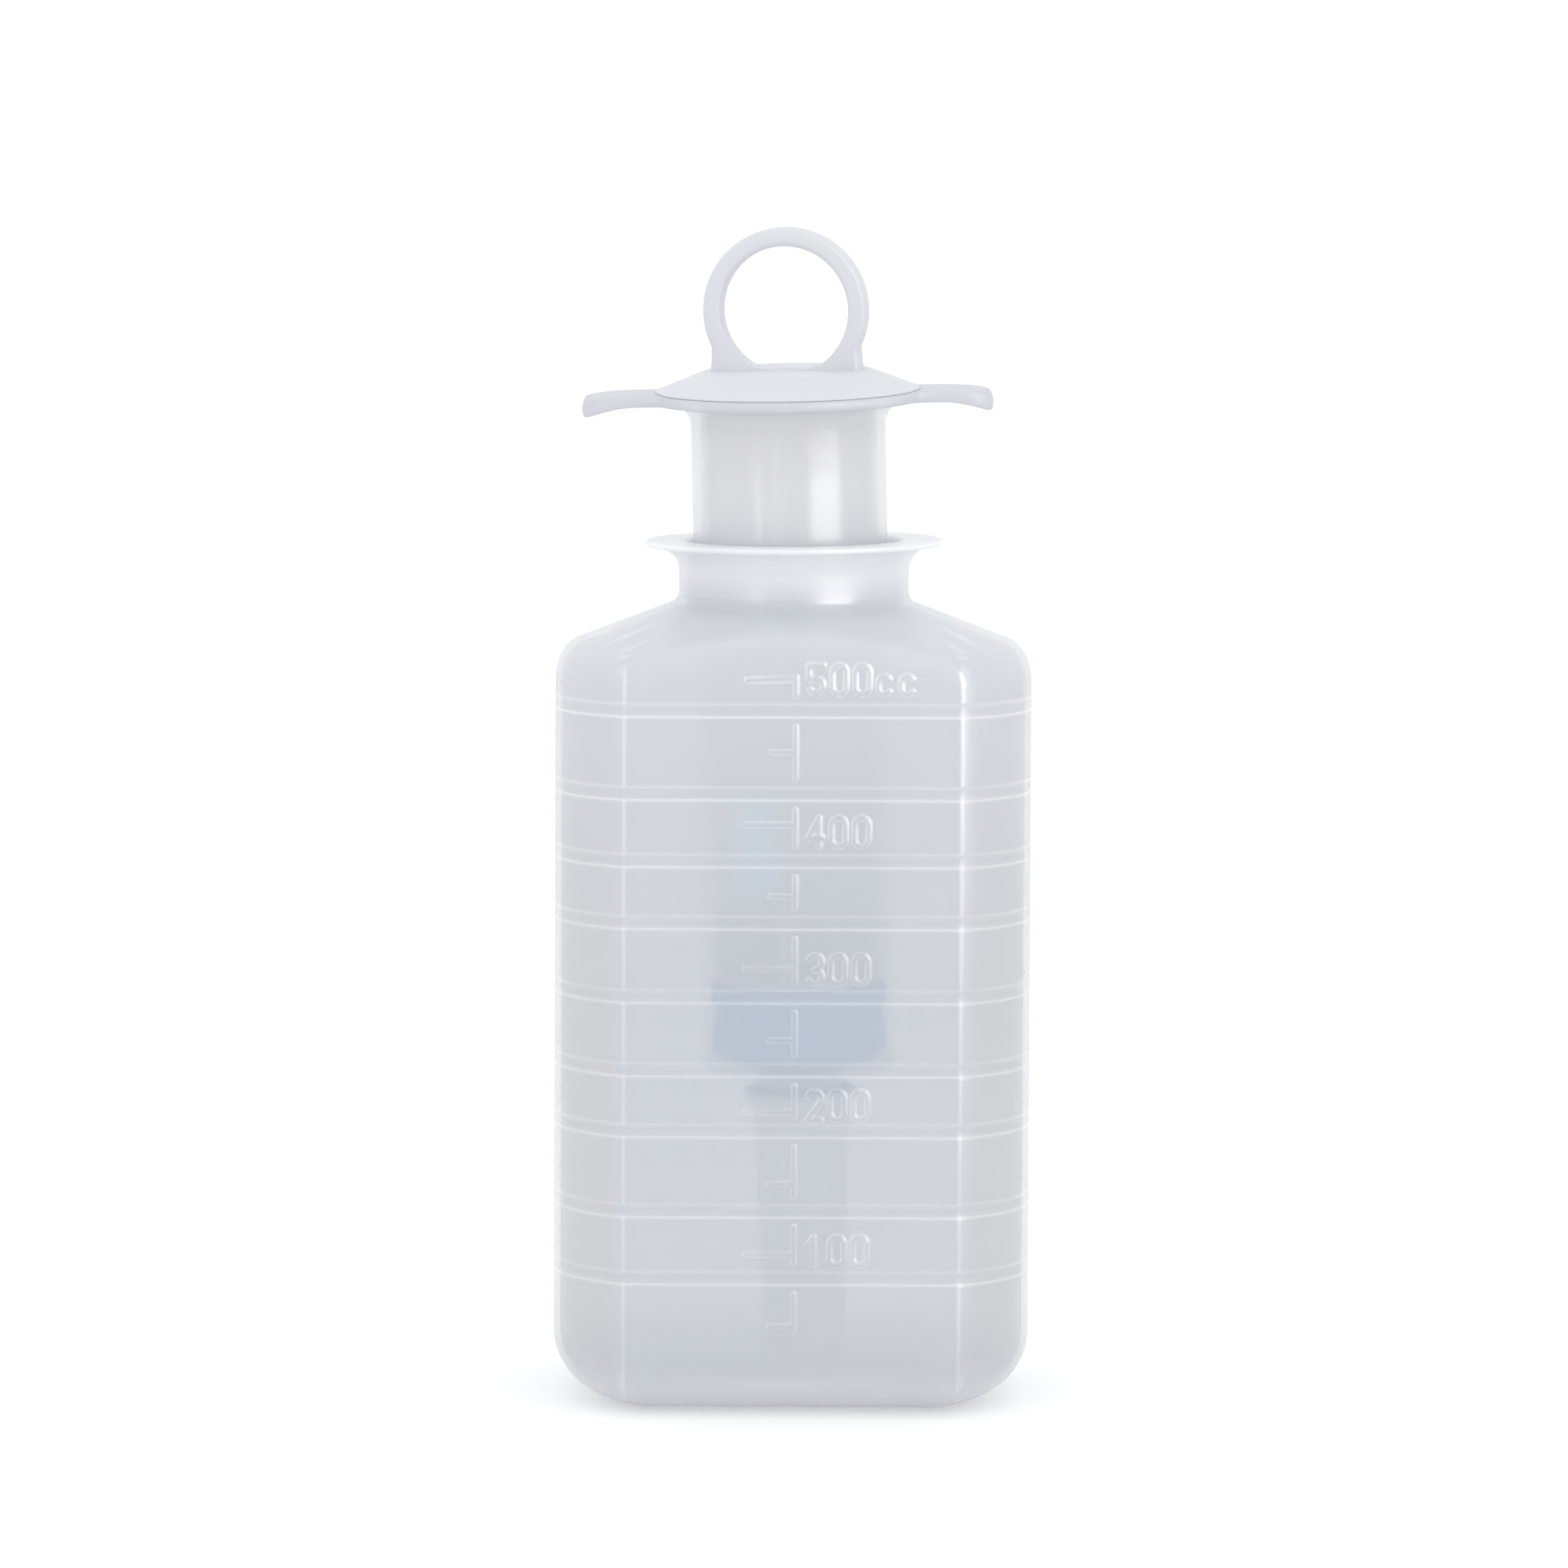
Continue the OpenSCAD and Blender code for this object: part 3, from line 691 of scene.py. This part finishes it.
def barrel():
    """Nozzle, barrel and winged flange outside, then the bore and the channel inside."""
    turns = wing_turns()
    reach = np.array([min(wing_reach(t), WING_HALF / max(abs(math.cos(t)), 1e-6)) for t in turns])
    tip_z = END_Z - NOZZLE_L
    heights = list(np.arange(END_Z + 4, STOP_Z - 2, 1.5))
    lower = rounded([
        (CHANNEL_R, tip_z, 0),
        (TIP_R, tip_z, 0.5),
        (COLLAR_R - TAPER_STEP, END_Z - COLLAR_L, 0.3),
        (COLLAR_R, END_Z - COLLAR_L, 0.4),
        (COLLAR_R, END_Z, 0.8),
        (BARREL_R, END_Z, 1.2),
        *[(BARREL_R, z, 0) for z in heights],
        (BARREL_R, FLANGE_Z - FLANGE_T, FLANGE_FILLET - 0.3),
        (BARREL_R + FLANGE_FILLET, FLANGE_Z - FLANGE_T, 0),
    ], steps=6)
    rings = [circle_ring(r, z, turns) for r, z in lower[:-1]]
    edge = 0.75
    for share in np.linspace(0, 1, 12):
        rings.append(flange_ring(turns, reach, share, edge, FLANGE_T))
    for t in np.linspace(0, math.pi, 9)[1:-1]:
        inset = edge * (1 - math.sin(t))
        drop = FLANGE_T / 2 * (1 + math.cos(t))
        rings.append(flange_ring(turns, reach, 1, inset, drop))
    for share in np.linspace(1, 0, 12):
        rings.append(flange_ring(turns, reach, share, edge, 0))
    bore_end = END_Z + END_WALL
    upper = rounded([
        (BARREL_R + 1, FLANGE_Z, 0),
        (BORE_R, FLANGE_Z, 0.6),
        (BORE_R, STOP_Z + 1.4, 0.6),
        (BORE_R - STOP_H, STOP_Z + 0.2, 0.4),
        (BORE_R - STOP_H, STOP_Z - 0.2, 0.4),
        (BORE_R, STOP_Z - 1.4, 0.6),
        *[(BORE_R, z, 0) for z in heights[::-1]],
        (BORE_R, bore_end, 0.4),
        (CHANNEL_R, bore_end, 0.4),
        (CHANNEL_R, tip_z, 0),
    ], steps=4)
    rings += [circle_ring(r, z, turns) for r, z in upper[:-1]]
    obj = loft("barrel_shell", rings, syringe, loop=True, crease=50)
    # for the material: the milky flange, the clearer lower half, the print, and how solid it is
    spots = np.array(rings).reshape(-1, 3)
    away = np.hypot(spots[:, 0], spots[:, 1])
    milk = smooth_step(BARREL_R, BARREL_R + FLANGE_FILLET, away)
    thin = 1 - smooth_step(SEAL_TOP + 6, FLANGE_Z - 36, spots[:, 2])
    thin *= smooth_step(END_Z - 1, END_Z + 2, spots[:, 2])
    plug = 1 - smooth_step(END_Z - 0.8, END_Z, spots[:, 2])
    solid = BARREL_SOLID + (FLANGE_SOLID - BARREL_SOLID) * np.maximum(milk, plug)
    turn = np.arctan2(spots[:, 0], -spots[:, 1])
    patch = smooth_step(*PRINT_LEFT, turn) * (1 - smooth_step(*PRINT_RIGHT, turn))
    patch *= smooth_step(*PRINT_LOW, spots[:, 2]) * (1 - smooth_step(*PRINT_HIGH, spots[:, 2]))
    patch *= smooth_step(BARREL_R - 0.5, BARREL_R - 0.1, away)
    mark(obj, "milk", milk)
    mark(obj, "thin", thin)
    mark(obj, "print", patch)
    mark(obj, "solid", solid - (BARREL_SOLID - THIN_SOLID) * thin + PRINT_SOLID * patch)
    return obj


# ---- tip cap and seal ----

def tip_cap():
    """A closed sleeve with grip ribs round its lower half."""
    segments = 144
    ribs = 12
    rib_h = 0.35
    turns = np.linspace(0, 2 * math.pi, segments, endpoint=False)
    mouth = END_Z - COLLAR_L - 1
    outer_top = CAP_BORE_R + CAP_WALL
    outside = arc((0, CAP_END_R), CAP_END_R - rib_h, -90, 0, 10)[1:]
    outside += [(CAP_END_R - rib_h + (outer_top - CAP_END_R) * t, CAP_END_R + (CAP_H - CAP_END_R) * t)
                for t in (0.05, 0.12, 0.25, 0.4, 0.52, 0.58, 0.63, 0.75, 0.9)]
    rings = []
    for r, z in outside:
        share = float(smooth_step(5, 9, z) * (1 - smooth_step(30, 34, z)))
        wave = np.maximum(np.cos(turns * ribs), 0) ** 2
        grown = r + rib_h * share * wave
        x, y = grown * np.cos(turns), grown * np.sin(turns)
        rings.append(np.stack([x, y, np.full(segments, z)], axis=1))
    bead = rounded([
        (outer_top - 0.1, CAP_H - CAP_BEAD - 0.6, 0),
        (outer_top, CAP_H - CAP_BEAD, 0.3),
        (CAP_BORE_R + 2 * CAP_WALL, CAP_H - CAP_BEAD, 0.5),
        (CAP_BORE_R + 2 * CAP_WALL, CAP_H, 1.3),
        (CAP_BORE_R, CAP_H, 0.3),
        (CAP_BORE_R, mouth, 0.2),
        (COLLAR_R - TAPER_STEP / 2, mouth, 0.3),
        (CAP_END_R - CAP_WALL, CAP_END_R, 0.5),
    ], steps=4)
    rings += [circle_ring(r, z, turns) for r, z in bead]
    inside = arc((0, CAP_END_R), CAP_END_R - CAP_WALL, 0, -90, 8)[1:-1]
    rings += [circle_ring(r, z, turns) for r, z in inside]
    poles = ((0, 0, rib_h), (0, 0, CAP_WALL))
    return loft("tip_cap_shell", rings, syringe, poles, crease=50)


def piston_seal():
    """Two sealing ribs, a waist between them and the socket for the plunger's head."""
    band = (SEAL_H - SEAL_FOOT) / 3
    waist = SEAL_R - SEAL_GROOVE
    path = rounded([
        (0, SEAL_Z, 0),
        (SEAL_R - SEAL_FOOT, SEAL_Z, 0.6),
        (SEAL_R, SEAL_Z + SEAL_FOOT, 0.7),
        (SEAL_R, SEAL_Z + SEAL_FOOT + band, 0.5),
        (waist, SEAL_Z + SEAL_FOOT + band, 0.3),
        (waist, SEAL_TOP - band, 0.3),
        (SEAL_R, SEAL_TOP - band, 0.5),
        (SEAL_R, SEAL_TOP, 0.8),
        (STEM_R + STEM_PLAY, SEAL_TOP, 0.5),
        (STEM_R + STEM_PLAY, HEAD_Z + HEAD_T + HEAD_FIT, 0.2),
        (HEAD_R + HEAD_FIT, HEAD_Z + HEAD_T + HEAD_FIT, 0.2),
        (HEAD_R + HEAD_FIT, HEAD_Z - HEAD_FIT, 0.2),
        (0, HEAD_Z - HEAD_FIT, 0),
    ], steps=5)
    return lathe("seal_rubber_body", path, syringe, 128, crease=50)


# ---- plunger ----

def thumb_ring():
    """The ring on its two legs: a rounded rim swept between an outer and an inner outline."""
    hole_r = RING_R - RING_RIM
    foot = math.degrees(math.asin(RING_RISE / hole_r))
    leg_top = -math.sqrt(RING_R ** 2 - LEG_HALF ** 2)
    bottom = -RING_RISE - FOOT_RISE - 0.8
    side = math.degrees(math.atan2(leg_top, LEG_HALF))
    per_arc = 60
    outer = arc((0, 0), RING_R, 180 - side, side, per_arc)
    flare = 0.5
    legs = [(LEG_HALF + flare * t * t, leg_top + (bottom - leg_top) * t)
            for t in np.linspace(0, 1, 6)[1:]]
    under = [(x * (LEG_HALF + flare), bottom) for x in np.linspace(0.9, -0.9, 12)]
    outer_loop = outer + legs + under + [(-x, z) for x, z in legs[::-1]]
    inner = arc((0, 0), hole_r, 180 + foot, -foot, per_arc)
    flat_x = hole_r * math.cos(math.radians(foot))
    spare = len(outer_loop) - len(inner)
    flat = [(flat_x * (1 - 2 * (k + 1) / (spare + 1)), -RING_RISE) for k in range(spare)]
    inner_loop = inner + flat
    outer_pts = np.array(outer_loop)
    inner_pts = np.array(inner_loop)
    # the rim's own section, once round: outer face, front, hole face, back
    half = RING_T / 2
    soft = 1.15
    section = rounded([
        (0, -half, soft), (RING_RIM, -half, soft), (RING_RIM, half, soft), (0, half, soft),
    ], closed=True, steps=6)
    rings = []
    for depth, y in section:
        width = np.linalg.norm(inner_pts - outer_pts, axis=1)
        share = np.where(depth < RING_RIM / 2, depth / width, 1 - (RING_RIM - depth) / width)
        flat_xz = outer_pts + (inner_pts - outer_pts) * share[:, None]
        x, z = flat_xz[:, 0], flat_xz[:, 1] + RING_Z
        rings.append(np.stack([x, np.full(len(width), y), z], axis=1))
    return loft("ring", rings, plunger_place, loop=True)


def vanes():
    """Four crossed vanes, from the disc above the seal up to the plate."""
    half = VANE_T / 2
    soft = 0.3
    corners = []
    for quarter in range(4):
        spin = Matrix.Rotation(quarter * math.pi / 2, 2)
        for x, y in ((VANE_R, -half), (VANE_R, half), (half, half)):
            point = spin @ Vector((x, y))
            corners.append((point.x, point.y, soft))
    outline = rounded(corners, closed=True, steps=3)
    low = SEAL_TOP + DISC_GAP + DISC_T / 2
    return prism("vanes", outline, low, PLATE_Z + PLATE_T / 2, plunger_place)


def plunger():
    """Plate, head, vanes, foot bar and ring, as one piece."""
    hub_top = HUB_Z + 0.6
    plate = lathe("plate", rounded([
        (0, FLANGE_Z + PLATE_GAP, 0),
        (PLATE_R, FLANGE_Z + PLATE_GAP, 0),
        (PLATE_R, FLANGE_Z + PLATE_RIM, 0.08),
        (HUB_R, hub_top, 2.5),
        (0, hub_top, 0),
    ], steps=6), plunger_place, 144)
    head = lathe("head", rounded([
        (0, HEAD_Z, 0),
        (HEAD_R, HEAD_Z, 0.5),
        (HEAD_R, HEAD_Z + HEAD_T, 0.5),
        (STEM_R, HEAD_Z + HEAD_T, 0.4),
        (STEM_R, SEAL_TOP + DISC_GAP, 0.25),
        (VANE_R, SEAL_TOP + DISC_GAP, 0.4),
        (VANE_R, SEAL_TOP + DISC_GAP + DISC_T, 0.4),
        (0, SEAL_TOP + DISC_GAP + DISC_T, 0),
    ], steps=4), plunger_place, 96)
    foot = [(x * FOOT_HALF, y * FOOT_HALF_W) for x, y in ((1, 1), (-1, 1), (-1, -1), (1, -1))]
    bar = prism("foot", foot, HUB_Z, RING_Z - RING_RISE - 0.12, plunger_place)
    obj = joined("plunger_body", [plate, head, vanes(), bar, thumb_ring()])
    heights = np.array([v.co.z for v in obj.data.vertices]) / MM
    # below the plate the plunger gets a paler colour, painted light that lifts the shade inside the
    # barrel
    mark(obj, "inside", 1 - smooth_step(PLATE_Z - 4, PLATE_Z, heights))
    return obj


# ---- materials ----

def new_material(name):
    """A material with only a plain shader in it, and that shader."""
    mat = bpy.data.materials.new(name)
    mat.use_nodes = True
    nodes = mat.node_tree.nodes
    nodes.clear()
    out = nodes.new("ShaderNodeOutputMaterial")
    shader = nodes.new("ShaderNodeBsdfPrincipled")
    mat.node_tree.links.new(shader.outputs[0], out.inputs["Surface"])
    return mat, shader


def noise(mat, scale, detail):
    """Noise over the object's own coordinates, with scale in features per metre."""
    nodes = mat.node_tree.nodes
    where = nodes.new("ShaderNodeTexCoord")
    field = nodes.new("ShaderNodeTexNoise")
    field.inputs["Scale"].default_value = scale
    field.inputs["Detail"].default_value = detail
    mat.node_tree.links.new(where.outputs["Object"], field.inputs["Vector"])
    return field.outputs["Fac"]


def tint(mat, shader, amount, first, second):
    """Mixes two colours by a field, onto the shader's colour."""
    mix = mat.node_tree.nodes.new("ShaderNodeMix")
    mix.data_type = "RGBA"
    mix.inputs["A"].default_value = (*first, 1)
    mix.inputs["B"].default_value = (*second, 1)
    mat.node_tree.links.new(amount, mix.inputs["Factor"])
    mat.node_tree.links.new(mix.outputs["Result"], shader.inputs["Base Color"])
    return mix


def spread(mat, field, low, high, to_low, to_high):
    """Maps a field from one range to another."""
    node = mat.node_tree.nodes.new("ShaderNodeMapRange")
    node.inputs["From Min"].default_value = low
    node.inputs["From Max"].default_value = high
    node.inputs["To Min"].default_value = to_low
    node.inputs["To Max"].default_value = to_high
    mat.node_tree.links.new(field, node.inputs["Value"])
    return node.outputs["Result"]


def bump(mat, shader, field, height):
    """Lets a field raise the surface by up to a height in metres."""
    node = mat.node_tree.nodes.new("ShaderNodeBump")
    node.inputs["Distance"].default_value = height
    node.inputs["Strength"].default_value = 1
    mat.node_tree.links.new(field, node.inputs["Height"])
    mat.node_tree.links.new(node.outputs["Normal"], shader.inputs["Normal"])


def masked(mat, name, low, high):
    """A mask stored on the mesh, mapped onto a range."""
    node = mat.node_tree.nodes.new("ShaderNodeAttribute")
    node.attribute_name = name
    return spread(mat, node.outputs["Fac"], 0, 1, low, high)


def milky_plastic(name, first, second):
    """Milky plastic, its colour drifting softly over the surface."""
    mat, shader = new_material(name)
    colour = tint(mat, shader, spread(mat, noise(mat, 22, 2), 0.35, 0.65, 0, 1), first, second)
    return mat, shader, colour


def drive(mat, shader, socket, name, low=0, high=1):
    """Lets a mask stored on the mesh set one of the shader's values."""
    mat.node_tree.links.new(masked(mat, name, low, high), shader.inputs[socket])


def over(mat, shader, under, name, amount, colour):
    """Lays a colour over the one that the shader has, by an amount of a stored mask."""
    mix = mat.node_tree.nodes.new("ShaderNodeMix")
    mix.data_type = "RGBA"
    mix.inputs["B"].default_value = (*colour, 1)
    link = mat.node_tree.links.new
    link(under.outputs["Result"], mix.inputs["A"])
    link(masked(mat, name, 0, amount), mix.inputs["Factor"])
    link(mix.outputs["Result"], shader.inputs["Base Color"])
    return mix


def rubber(name):
    """Blue rubber, a little mottled, with a fine grain."""
    mat, shader = new_material(name)
    tint(mat, shader, noise(mat, 260, 4), (0.0, 0.45, 0.92), (0.0, 0.49, 0.95))
    shader.inputs["Specular IOR Level"].default_value = 0.2
    link = mat.node_tree.links.new
    field = noise(mat, 900, 5)
    link(spread(mat, field, 0.3, 0.7, 0.42, 0.58), shader.inputs["Roughness"])
    bump(mat, shader, field, 0.00004)
    return mat


# ---- colours, then each piece is built and hung on its body ----

BOTTLE_COLOURS = ((0.635, 0.665, 0.715), (0.655, 0.68, 0.72))
SIDE_COLOUR = (0.63, 0.64, 0.67)
PALE_AND_PAINTED_LIGHT_COLOUR = (0.735, 0.765, 0.805)
NECK_PAINTED_LIGHT_COLOUR = (0.93, 0.94, 0.97)
PAINTED_HIGHLIGHT_COLOUR = (1, 1, 1)
BARREL_COLOURS = ((0.86, 0.87, 0.91), (0.88, 0.88, 0.91))
THIN_COLOUR = (0.84, 0.87, 0.91)
FLANGE_COLOUR = (0.62, 0.63, 0.68)
PRINT_COLOUR = (0.42, 0.94, 0.98)
PLUNGER_COLOURS = ((0.63, 0.64, 0.69), (0.65, 0.65, 0.69))
INSIDE_PAINTED_LIGHT_COLOUR = (0.88, 0.90, 0.94)
CAP_COLOURS = ((0.82, 0.84, 0.87), (0.84, 0.85, 0.87))

bottle_plastic, shader, colour = milky_plastic("bottle_plastic", *BOTTLE_COLOURS)
colour = over(bottle_plastic, shader, colour, "side", 1, SIDE_COLOUR)
# paler toward the neck, and painted light at the foot
colour = over(bottle_plastic, shader, colour, "pale", 1, PALE_AND_PAINTED_LIGHT_COLOUR)
# painted light over the neck and lip, lifting their shade
colour = over(bottle_plastic, shader, colour, "neck", 1, NECK_PAINTED_LIGHT_COLOUR)
# the painted highlight lines, laid on in white along grooves, creases and strokes
over(bottle_plastic, shader, colour, "painted_highlight", 0.38, PAINTED_HIGHLIGHT_COLOUR)
drive(bottle_plastic, shader, "Alpha", "solid")
drive(bottle_plastic, shader, "Roughness", "neck", 0.24, 0.42)

barrel_plastic, shader, colour = milky_plastic("barrel_plastic", *BARREL_COLOURS)
shader.inputs["Specular IOR Level"].default_value = 0.45
colour = over(barrel_plastic, shader, colour, "thin", 1, THIN_COLOUR)
colour = over(barrel_plastic, shader, colour, "milk", 1, FLANGE_COLOUR)
over(barrel_plastic, shader, colour, "print", 0.9, PRINT_COLOUR)
drive(barrel_plastic, shader, "Alpha", "solid")
drive(barrel_plastic, shader, "Roughness", "milk", 0.2, 0.55)

plunger_plastic, shader, colour = milky_plastic("plunger_plastic", *PLUNGER_COLOURS)
shader.inputs["Roughness"].default_value = 0.5
shader.inputs["Specular IOR Level"].default_value = 0.3
# painted light on the vanes and head inside the barrel
over(plunger_plastic, shader, colour, "inside", 1, INSIDE_PAINTED_LIGHT_COLOUR)
cap_plastic, shader = milky_plastic("cap_plastic", *CAP_COLOURS)[:2]
shader.inputs["Roughness"].default_value = 0.4
seal_rubber = rubber("seal_rubber")

pieces = [
    (bottle(), "bottle", "bottle", "bottle_plastic", bottle_plastic),
    (barrel(), "barrel", "barrel", "barrel_plastic", barrel_plastic),
    (plunger(), "plunger", "plunger_rod", "plunger_plastic", plunger_plastic),
    (piston_seal(), "piston", "piston_seal", "seal_rubber", seal_rubber),
    (tip_cap(), "cap", "tip_cap", "cap_plastic", cap_plastic),
]
for piece, body, node, slot, material in pieces:
    piece.data.materials.clear()
    piece.data.materials.append(material)
    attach(piece, body)
    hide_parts(node)

# ---- floor, light and camera ----

FLOOR_R = 15


def floor():
    turns = np.linspace(0, 2 * math.pi, 96, endpoint=False)
    rings = [circle_ring(r, 0, turns) for r in (0.2, 1, 4, FLOOR_R)]
    obj = loft("floor", rings, Matrix.Identity(4), poles=((0, 0, 0), None))
    mat, shader = new_material("floor_white")
    shader.inputs["Roughness"].default_value = 0.9
    shader.inputs["Specular IOR Level"].default_value = 0.1
    shader.inputs["Emission Color"].default_value = (1, 1, 1, 1)
    shader.inputs["Emission Strength"].default_value = 0.3
    tint(mat, shader, noise(mat, 3, 2), (0.69, 0.69, 0.69), (0.71, 0.71, 0.71))
    obj.data.materials.append(mat)


def softbox(name, azimuth, distance, height, size, radiance, shape_only):
    """A soft light at an azimuth from the camera's side. One for shape only shows in gloss."""
    data = bpy.data.lights.new(name, "AREA")
    data.shape = "RECTANGLE"
    data.size, data.size_y = size
    data.energy = radiance * math.pi * size[0] * size[1]
    lamp = bpy.data.objects.new(name, data)
    turn = math.radians(azimuth)
    lamp.location = (math.sin(turn) * distance, -math.cos(turn) * distance, height)
    aim = Vector((0, 0, height if shape_only else 0.1)) - lamp.location
    lamp.rotation_euler = aim.to_track_quat("-Z", "Y").to_euler()
    lamp.visible_diffuse = not shape_only
    lamp.visible_camera = False
    bpy.context.scene.collection.objects.link(lamp)
    return lamp


floor()
world = bpy.data.worlds.new("studio")
world.use_nodes = True
world.node_tree.nodes["Background"].inputs["Color"].default_value = (1, 1, 1, 1)
world.node_tree.nodes["Background"].inputs["Strength"].default_value = 1.12
bpy.context.scene.world = world
softbox("window_right", 43, 0.9, 0.42, (0.6, 0.9), 11, True)
softbox("strip_left", -38, 0.9, 0.3, (0.12, 0.6), 8, True)
softbox("overhead", 0, 0.35, 1.2, (0.9, 0.9), 0.5, False)

CAMERA_PLACE = (-0.0015, -1.23, 0.227)
CAMERA_LENS = 169.8
PITCH = math.radians(5.785)
ROLL = math.radians(0.25)
camera_data = bpy.data.cameras.new("camera")
camera_data.sensor_width = 36
camera_data.lens = CAMERA_LENS
camera = bpy.data.objects.new("camera", camera_data)
camera.location = CAMERA_PLACE
camera.rotation_euler = (
    Matrix.Rotation(math.pi / 2 - PITCH, 4, "X") @ Matrix.Rotation(ROLL, 4, "Z")
).to_euler()
bpy.context.scene.collection.objects.link(camera)
bpy.context.scene.camera = camera
bpy.context.scene.view_settings.view_transform = "Standard"
bpy.context.scene.cycles.transparent_max_bounces = 32
